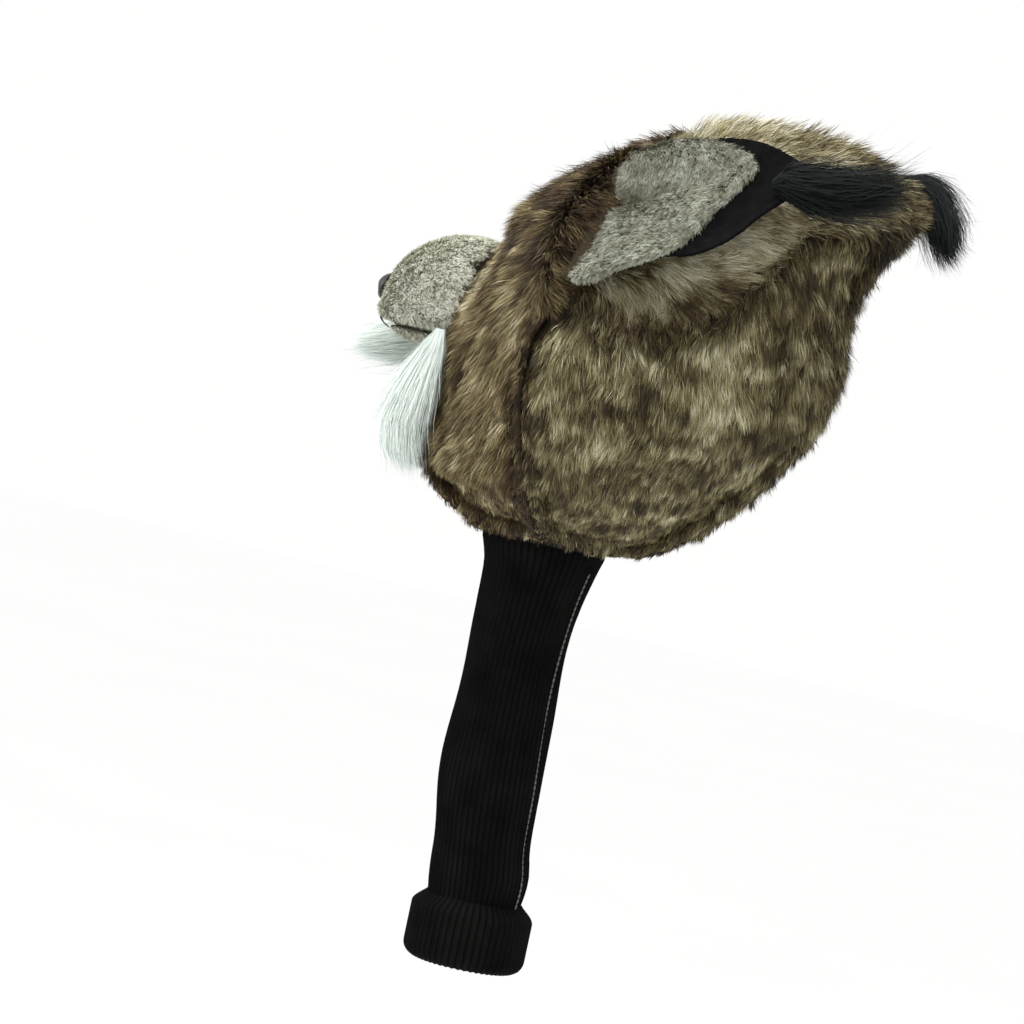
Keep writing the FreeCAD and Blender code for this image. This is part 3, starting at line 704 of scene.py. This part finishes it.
for side in ("left", "right"):
    body = side + "_ear"
    middle, along, out, normal, size = ear_frame(side)
    felt = soft_copy("ear_felt_cloth_" + side, ["ear_felt_" + side], 0.9 * MM, 3)
    co, normals, _ = mesh_arrays(felt.data)
    set_corners(felt.data, co + ear_fold(co, side))
    roll_sink = -EAR_SINK * MM * normal
    dress(felt, felt_cloth, body, "black_felt", ["ear_felt_" + side])
    inner = soft_copy("ear_plush_cloth_" + side, ["ear_plush_" + side], 1.3 * MM, 4)
    co, normals, _ = mesh_arrays(inner.data)
    co = co + ear_fold(co, side) - normals * (1.0 * MM * smoothstep(0.2, 0.7, normals @ normal))[:, None]
    s, t = (co - middle) @ out / size, (co - middle) @ along / size
    co -= (s * size * 0.06)[:, None] * out
    co -= (3.8 * MM * smoothstep(0.05, -0.10, t) * smoothstep(0.62, 0.45, s))[:, None] * along
    set_corners(inner.data, co)
    dress(inner, plush_cloth, body, "grey_plush", ["ear_plush_" + side])
    co, normals, tris = mesh_arrays(inner.data)
    top = smoothstep(-0.2, 0.3, normals @ normal)
    s, t = (co - middle) @ out / size, (co - middle) @ along / size
    lie = -0.75 * along - 0.15 * out + (smoothstep(0.15, 0.45, t) * 1.0)[:, None] * (out * 0.9 + along * 0.35)
    lie = lie + np.cross(normal, along)[None] * fuzzy(co, 16 * MM, 3.0)[:, None] * 0.5
    tone = 0.58 + 0.26 * fuzzy(co, 8 * MM, 2.0) + 0.2 * fuzzy(co, 2.6 * MM, 5.0)
    # painted shade: the plush's tone is darkened along the ear's crease
    tone -= 0.35 * np.exp(-((t - (0.10 + 0.32 * s)) / 0.04) ** 2) * smoothstep(0.5, 0.05, s)
    length = np.full(len(co), 3.8 * MM)
    read = sample(co, tris, top + NEVER_ZERO, drawn(EAR_HAIRS))
    grow("ear_plush_pile_" + side, read, co, normals, lie, length, tone, body, plush_pile, "grey_plush",
         0.32 * MM, (55, 18), 1.8 * MM, pull=0.42, wild=0.22, points=3)
    roll = soft_copy("ear_seam_roll_" + side, ["ear_roll_" + side], 1.0 * MM, 3)
    set_corners(roll.data, mesh_arrays(roll.data)[0] + roll_sink)
    dress(roll, backing_cloth, body, "black_felt", ["ear_roll_" + side])


# ---------------------------------------------------------------- long hair locks
def spine(node, start, slices=7):
    """Middle and radius of a CAD lock of hair, from its root to its tip."""
    co, _ = world_mesh(node)
    first = co[np.argmin(co @ start)]
    gap = np.linalg.norm(co - first, axis=1)
    far = gap.max()
    middles, radii = [], []
    for k in range(slices):
        near = np.abs(gap / far - k / (slices - 1)) < 0.6 / slices
        middles.append(co[near].mean(axis=0))
        radii.append(np.linalg.norm(co[near] - middles[-1], axis=1).mean())
    return np.array(middles), np.array(radii), far


def lock(node, start, hairs, width, material, body, slot, spread=1.0, stray=1.0, points=9, tones=(0.5, 0.18),
         reach=(0.62, 1.12), droop=0.0):
    middles, radii, far = spine(node, start)
    count = drawn(hairs)
    along = unit(middles[-1] - middles[0])
    e1 = unit(np.cross(along, [0.3, 0.2, 1.0] if abs(along[2]) < 0.8 else [1.0, 0.2, 0.1]))
    e2 = np.cross(along, e1)
    angle, away = rng.uniform(0, 2 * math.pi, count), np.sqrt(rng.random(count))
    group = rng.integers(0, max(count // 45, 1), count)
    pull = rng.random((group.max() + 1, 2)) * 2 - 1
    a, b = away * np.cos(angle), away * np.sin(angle)
    a, b = a * 0.45 + pull[group, 0] * 0.62, b * 0.45 + pull[group, 1] * 0.62
    end = rng.uniform(*reach, count) + rng.normal(0, 0.05, group.max() + 1)[group]
    ticks = np.linspace(0, 1, len(middles))
    path = np.empty((count, points, 3))
    wave = rng.normal(0, 1, (count, 4))
    for k in range(points):
        u = k / (points - 1)
        t = u * end
        base = np.stack([np.interp(t, ticks, middles[:, n]) for n in range(3)], 1)
        base += np.maximum(t - 1, 0)[:, None] * far * along
        radius = np.interp(np.minimum(t, 1), ticks, radii) * spread
        radius = radius * (0.55 + 0.75 * u) + 0.0004
        bend = stray * 2.2 * MM * u ** 1.6
        side = a * radius + wave[:, 0] * bend + 0.5 * bend * np.sin(5 * u + wave[:, 2] * 3)
        lift = b * radius + wave[:, 1] * bend + 0.5 * bend * np.sin(4 * u + wave[:, 3] * 3)
        path[:, k] = base + side[:, None] * e1 + lift[:, None] * e2
        path[:, k, 2] -= droop * (t ** 2) * MM
    facing = unit(path[:, points // 2] - np.array([np.interp(0.5, ticks, middles[:, n]) for n in range(3)])
                  + rng.normal(0, 1.5 * MM, (count, 3)))
    tone = tones[0] + tones[1] * rng.normal(0, 1, count) + 0.1 * rng.normal(0, 1, group.max() + 1)[group]
    widths = width * rng.uniform(0.6, 1.2, count)
    full = hairs > MOST_STRAYS
    label = f"{slot}_{node}" if full else f"{slot}_{node}_strays"
    made = ribbons(label, path, facing, widths, np.clip(tone, *TONE_RANGE), body, material, slot)
    if full:
        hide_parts(node)


# each CAD lock's direction from its root, then how its hair differs
lock("cheek_tuft_left", np.array([0.0, 0.0, -1.0]), 5200, 0.34 * MM, white_hair, "head", "white_hair",
     spread=1.0, reach=(0.45, 0.98))
lock("cheek_tuft_right", np.array([0.0, -1.0, 0.0]), 5200, 0.34 * MM, white_hair, "head", "white_hair",
     spread=1.4, stray=1.2, reach=(0.62, 1.10))
lock("ear_tuft_left", np.array([0.0, 1.0, 0.0]), 2800, 0.32 * MM, black_hair, "left_ear", "black_hair",
     spread=1.35, stray=1.8, tones=(0.35, 0.22), reach=(0.35, 1.0))
lock("ear_tuft_left", np.array([0.0, 1.0, 0.0]), 70, 0.22 * MM, black_hair, "left_ear", "black_hair",
     spread=1.1, stray=4.5, tones=(0.5, 0.2), reach=(0.7, 1.2), droop=-9.0)
lock("ear_tuft_right", np.array([0.0, 1.0, 0.35]), 3200, 0.34 * MM, black_hair, "right_ear", "black_hair",
     spread=1.25, stray=1.6, tones=(0.35, 0.22), reach=(0.5, 1.12))
lock("ear_tuft_right", np.array([0.0, 1.0, 0.35]), 50, 0.22 * MM, black_hair, "right_ear", "black_hair",
     spread=1.2, stray=4.5, tones=(0.5, 0.2), reach=(0.6, 1.2), droop=-6.0)

# ---------------------------------------------------------------- sock
RIBS = 52
RIB_STEPS = 8               # corners across one wale
TUBE_ROWS = 150
LINING_SHARE = 0.885        # radius of the tube's inside, as a share of its outside
CUFF_STEPS, CUFF_INSIDE_STEPS = 45, 11
CUFF_FULL_ROWS = 34         # rows whose wales stand at full height; inside the cuff they fade
WALL_STEPS, ROLL_STEPS = 0.72, 0.28         # shares of the cuff's steps in its wall and in its roll
WALL_SHARE, ROLL_SHARE = 0.80, 0.20         # shares of its height that they take up
sock_low, sock_high = (np.array(c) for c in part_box("sock_tube"))
cuff_low, cuff_high = (np.array(c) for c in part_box("cuff_roll"))
cuff_middle = (cuff_low + cuff_high) / 2
cuff_bore = next(m for m in frame["record"]["mounts"] if m["name"] == "cuff_mouth")
bore_radius = cuff_bore["dims"]["r_mm"] * MM
cuff_top, cuff_bottom = cuff_high[2], cuff_low[2]
sock_tree = tree_of(["sock_tube"])


def sock_middle(z):
    """Centre of the tube along Y at height z, and its radius, read off the CAD tube."""
    reach = 0.06
    hits = [sock_tree.ray_cast(Vector((0, sign * reach, z)), Vector((0, -sign, 0)))[0] for sign in (1, -1)]
    return (hits[0].y + hits[1].y) / 2, (hits[0].y - hits[1].y) / 2


levels = np.linspace(sock_low[2] + 0.1 * MM, sock_high[2] - 0.1 * MM, 40)
middle_radius = np.array([sock_middle(z) for z in levels])


def rib(angle, share=1.0):
    """Rounded wales with narrow furrows between them."""
    wave = 0.5 + 0.5 * np.cos(angle * RIBS)
    return (wave ** 0.6 - 0.6) * share


def knit_material():
    s = Shader("rib_knit", 0.9, 0.04)
    uv = s.node("ShaderNodeUVMap", uv_map="knit")
    parts = s.node("ShaderNodeSeparateXYZ")
    s.link(uv.outputs["UV"], parts.inputs[0])
    across = s.math("SUBTRACT", s.math("FRACT", parts.outputs["X"]), 0.5)
    slant = s.math("MULTIPLY", s.math("ABSOLUTE", across), 1.6)
    stitch = s.math("ADD", parts.outputs["Y"], slant)
    loops = s.math("SINE", s.math("MULTIPLY", stitch, 2 * math.pi))
    s.bump(loops, 0.35, 0.25 * MM)
    s.bump(s.noise(0.7 * MM, 4.0), 0.25, 0.2 * MM)
    dust = s.noise(18 * MM, 3.0)
    tint = s.ramp(dust, [(0.3, linear((10, 10, 10))), (0.7, linear((21, 21, 20)))])
    # painted shade: the furrows between the wales are darkened, the wales' tops keep their full tone
    groove = s.ramp(s.math("ABSOLUTE", across), [(0.18, (1, 1, 1, 1)), (0.5, (0.12, 0.12, 0.12, 1))])
    return s.colour(s.mix(1.0, tint, groove, "MULTIPLY"))


knit = knit_material()


def knit_uv(mesh, angles, heights, stitch=1.3 * MM):
    """u counts wales, v counts stitches."""
    cols = len(angles)
    loops = np.empty(len(mesh.loops), int)
    mesh.loops.foreach_get("vertex_index", loops)
    first = np.empty(len(mesh.polygons), int)
    mesh.polygons.foreach_get("loop_start", first)
    u = (angles[loops % cols] / (2 * math.pi) * RIBS).reshape(-1, 4)
    u = np.where((u.max(1) - u.min(1) > RIBS / 2)[:, None] & (u < RIBS / 2), u + RIBS, u)
    v = heights[loops // cols] / stitch
    layer = mesh.uv_layers.new(name="knit")
    layer.data.foreach_set("uv", np.stack([u.ravel(), v], 1).astype(np.float32).ravel())


def tube_points(z_list, angles):
    z = np.asarray(z_list)[:, None]
    centre = np.interp(z, levels, middle_radius[:, 0])
    radius = np.interp(z, levels, middle_radius[:, 1])
    ripple = 0.0006 * np.sin(z / (23 * MM) + np.cos(angles)[None, :] * 1.7)
    ripple = ripple + 0.0005 * np.sin(z / (11 * MM) + 2.0 * np.sin(angles)[None, :] + 1.0)
    drift = 0.006 * np.sin(z / (40 * MM) + 2 * np.sin(angles)[None, :])
    r = radius - 0.3 * MM + ripple + rib(angles[None, :] + drift, 1.05 * MM)
    return np.stack([r * np.cos(angles)[None, :], centre + r * np.sin(angles)[None, :],
                     z + 0 * r], -1)


angles = np.linspace(0, 2 * math.pi, RIBS * RIB_STEPS, endpoint=False)
z_outer = np.linspace(sock_high[2] - 0.5 * MM, sock_low[2] - 2 * MM, TUBE_ROWS)
outer_points = tube_points(z_outer, angles)
z_inner = z_outer[::-6]
inner_points = tube_points(z_inner, angles)
axis_y = np.interp(z_inner, levels, middle_radius[:, 0])
inner_points[:, :, 0] *= LINING_SHARE
inner_points[:, :, 1] = axis_y[:, None] + (inner_points[:, :, 1] - axis_y[:, None]) * LINING_SHARE
all_points = np.concatenate([outer_points, inner_points])
mesh, _ = grid_mesh("sock_knit", all_points, True, True)
knit_uv(mesh, angles, np.concatenate([z_outer, z_inner]))
sock = dress(add_object("sock_knit", mesh), knit, None, "rib_knit", ["sock_tube"])

# the cuff: the same wales rolled over an elastic and turned back inside
cuff_radius = (cuff_high[0] - cuff_low[0]) / 2
neck_radius = middle_radius[0, 1]
cuff_height = cuff_top - cuff_bottom
profile = []
for k in range(CUFF_STEPS + 1):
    t = k / CUFF_STEPS
    if t < WALL_STEPS:
        s = t / WALL_STEPS
        swell = neck_radius + (cuff_radius - neck_radius) * np.sin(min(s / 0.30, 1.0) * math.pi / 2) ** 1.3
        profile.append((swell, cuff_top - cuff_height * WALL_SHARE * s))
    else:
        a = (t - WALL_STEPS) / ROLL_STEPS * math.pi
        mid = (cuff_radius + bore_radius) / 2
        half = (cuff_radius - bore_radius) / 2
        profile.append((mid + half * math.cos(a),
                        cuff_top - cuff_height * (WALL_SHARE + ROLL_SHARE * math.sin(a))))
for k in range(1, CUFF_INSIDE_STEPS + 1):
    climbed = ROLL_SHARE + WALL_SHARE * k / CUFF_INSIDE_STEPS
    profile.append((bore_radius, cuff_bottom + cuff_height * climbed))
profile = np.array(profile)
fading = np.linspace(1, 0.25, len(profile) - CUFF_FULL_ROWS)
inside = smoothstep(0.0, 1.0, np.concatenate([np.ones(CUFF_FULL_ROWS), fading]))
radius = profile[:, 0][:, None] + (rib(angles, 1.0)[None, :] - 0.35) * MM * inside[:, None]
radius = radius + 0.5 * MM * np.sin(3 * angles + 0.6)[None, :] * inside[:, None] * 0.8
height = profile[:, 1][:, None] + 0 * radius
near_bottom = np.exp(-((profile[:, 1] - cuff_bottom) / (5 * MM)) ** 2)[:, None]
height = height + rib(angles, 0.6 * MM)[None, :] * near_bottom
cuff_points = np.stack([radius * np.cos(angles), cuff_middle[1] + radius * np.sin(angles), height], -1)
mesh, _ = grid_mesh("cuff_knit", cuff_points, True, True)
steps = np.append(0, np.cumsum(np.linalg.norm(np.diff(profile, axis=0), axis=1)))
knit_uv(mesh, angles, -steps)
dress(add_object("cuff_knit", mesh), knit, "sock", "rib_knit", ["cuff_roll"])

# the sock's back seam: a line of pale stitches
stitch_shapes, stitch_loops, stitch_starts = [], [], []
ring_count, rows = 6, 5
SEAM_TURN = math.radians(11)    # the seam has drifted a little round the sock
seam_z = np.arange(sock_high[2] - 22 * MM, sock_low[2], -2.7 * MM)
for n, z in enumerate(seam_z):
    for r in range(rows):
        v = (r / (rows - 1) - 0.5) * 2
        zz = z + v * 1.45 * MM
        fat = math.sqrt(max(1 - v * v, 0.0)) * 0.42 * MM + 0.05 * MM
        seam_middle = float(np.interp(zz, levels, middle_radius[:, 0]))
        seam_radius = float(np.interp(zz, levels, middle_radius[:, 1]))
        for q in range(ring_count):
            a = 2 * math.pi * q / ring_count
            across, out_by = fat * math.cos(a) * 1.3, fat * math.sin(a) + 0.15 * MM
            reach = seam_radius + out_by
            x = reach * math.sin(SEAM_TURN) + across * math.cos(SEAM_TURN)
            y = seam_middle + reach * math.cos(SEAM_TURN) - across * math.sin(SEAM_TURN)
            stitch_shapes.append((x, y, zz))
    base = n * rows * ring_count
    for r in range(rows - 1):
        for q in range(ring_count):
            nq = (q + 1) % ring_count
            stitch_starts.append(len(stitch_loops))
            stitch_loops += [base + r * ring_count + q, base + r * ring_count + nq,
                             base + (r + 1) * ring_count + nq, base + (r + 1) * ring_count + q]
    for r in (0, rows - 1):
        stitch_starts.append(len(stitch_loops))
        ring = [base + r * ring_count + q for q in range(ring_count)]
        stitch_loops += ring if r else ring[::-1]
mesh = make_mesh("sock_seam_stitches", np.array(stitch_shapes), stitch_loops, stitch_starts)
seam = dress(add_object("sock_seam_stitches", mesh), seam_cloth, None, "seam_thread", ["sock_seam"])
for obj in (sock, seam):
    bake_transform(obj)

# ---------------------------------------------------------------- inside pieces
for node, shrunk in (("wadding_left", 0.6), ("wadding_right", 0.6), ("muzzle_filling", 3.6)):
    pad = soft_copy(node + "_pad", [node], 3.0 * MM, 3)
    co, normals, _ = mesh_arrays(pad.data)
    set_corners(pad.data, co + normals * (0.6 * MM * (fuzzy(co, 9 * MM, 1.0) - shrunk))[:, None])
    dress(pad, wadding_cloth, "head", "wadding", [node])
for node in ("pocket_lining_left", "pocket_lining_right"):
    dress(frame["nodes"][node], lining_cloth)
for node, material in (("pocket_funnel", lining_cloth), ("neck_binding", tape_cloth),
                       ("neck_elastic", elastic_cloth), ("cuff_elastic", elastic_cloth),
                       ("eye_washer_left", washer_plastic), ("eye_washer_right", washer_plastic)):
    dress(frame["nodes"][node], material)

# ---------------------------------------------------------------- light, floor and camera
scene = bpy.context.scene
scene.view_settings.view_transform = "Standard"
scene.view_settings.look = "None"
world = bpy.data.worlds.new("studio")
scene.world = world
world.use_nodes = True
world.node_tree.nodes["Background"].inputs["Color"].default_value = (1.0, 1.0, 0.995, 1)
world.node_tree.nodes["Background"].inputs["Strength"].default_value = 1.0


def direction(azimuth, elevation):
    """Towards the eye or the lamp. Azimuth 0 is in front of the face; both are in degrees."""
    a, e = math.radians(azimuth), math.radians(elevation)
    return Vector((math.sin(a) * math.cos(e), -math.cos(a) * math.cos(e), math.sin(e)))


def area_light(name, azimuth, elevation, distance, size, power, target=(0, 0.02, 0.05)):
    light = bpy.data.lights.new(name, "AREA")
    light.shape, light.size, light.energy = "DISK", size, power
    obj = add_object(name, light)
    toward = direction(azimuth, elevation)
    obj.location = Vector(target) + toward * distance
    obj.rotation_mode = "QUATERNION"
    obj.rotation_quaternion = toward.to_track_quat("Z", "Y")


area_light("key", 85, 62, 1.1, 0.7, 11.0)
area_light("top", 200, 75, 1.1, 0.8, 6.0)
area_light("front", 20, 25, 1.2, 0.8, 7.0)

FLOOR_HEIGHT, FLOOR_HALF = -0.72, 9
floor_corners = [(x * FLOOR_HALF, y * FLOOR_HALF, FLOOR_HEIGHT)
                 for x, y in ((-1, -1), (1, -1), (1, 1), (-1, 1))]
floor_mesh = make_mesh("floor", np.array(floor_corners), [0, 1, 2, 3], [0], False)
floor = add_object("floor", floor_mesh)
s = Shader("floor", 0.9, 0.1)
grain = s.noise(0.4, 2.0)
floor_mesh.materials.append(s.colour(s.ramp(grain, [(0.0, (0.97, 0.97, 0.97, 1)), (1.0, (1, 1, 1, 1))])))

# the photograph's viewing angle, from far off with a long lens
VIEW_AZIMUTH, VIEW_ELEVATION, VIEW_ROLL = 110, 3, math.radians(12)
VIEW_TARGET = Vector((6.1, -16.8, 7.3)) * MM
VIEW_DISTANCE = 2.405
LENS, SENSOR = 180, 36
camera_data = bpy.data.cameras.new("camera")
camera_data.lens, camera_data.sensor_width = LENS, SENSOR
camera = add_object("camera", camera_data)
toward = direction(VIEW_AZIMUTH, VIEW_ELEVATION)
right = Vector((0, 0, 1)).cross(toward).normalized()
up = toward.cross(right)
image_right = right * math.cos(VIEW_ROLL) + up * math.sin(VIEW_ROLL)
image_up = up * math.cos(VIEW_ROLL) - right * math.sin(VIEW_ROLL)
turn = Matrix((image_right, image_up, toward)).transposed().to_4x4()
camera.matrix_world = Matrix.Translation(VIEW_TARGET + toward * VIEW_DISTANCE) @ turn
scene.camera = camera
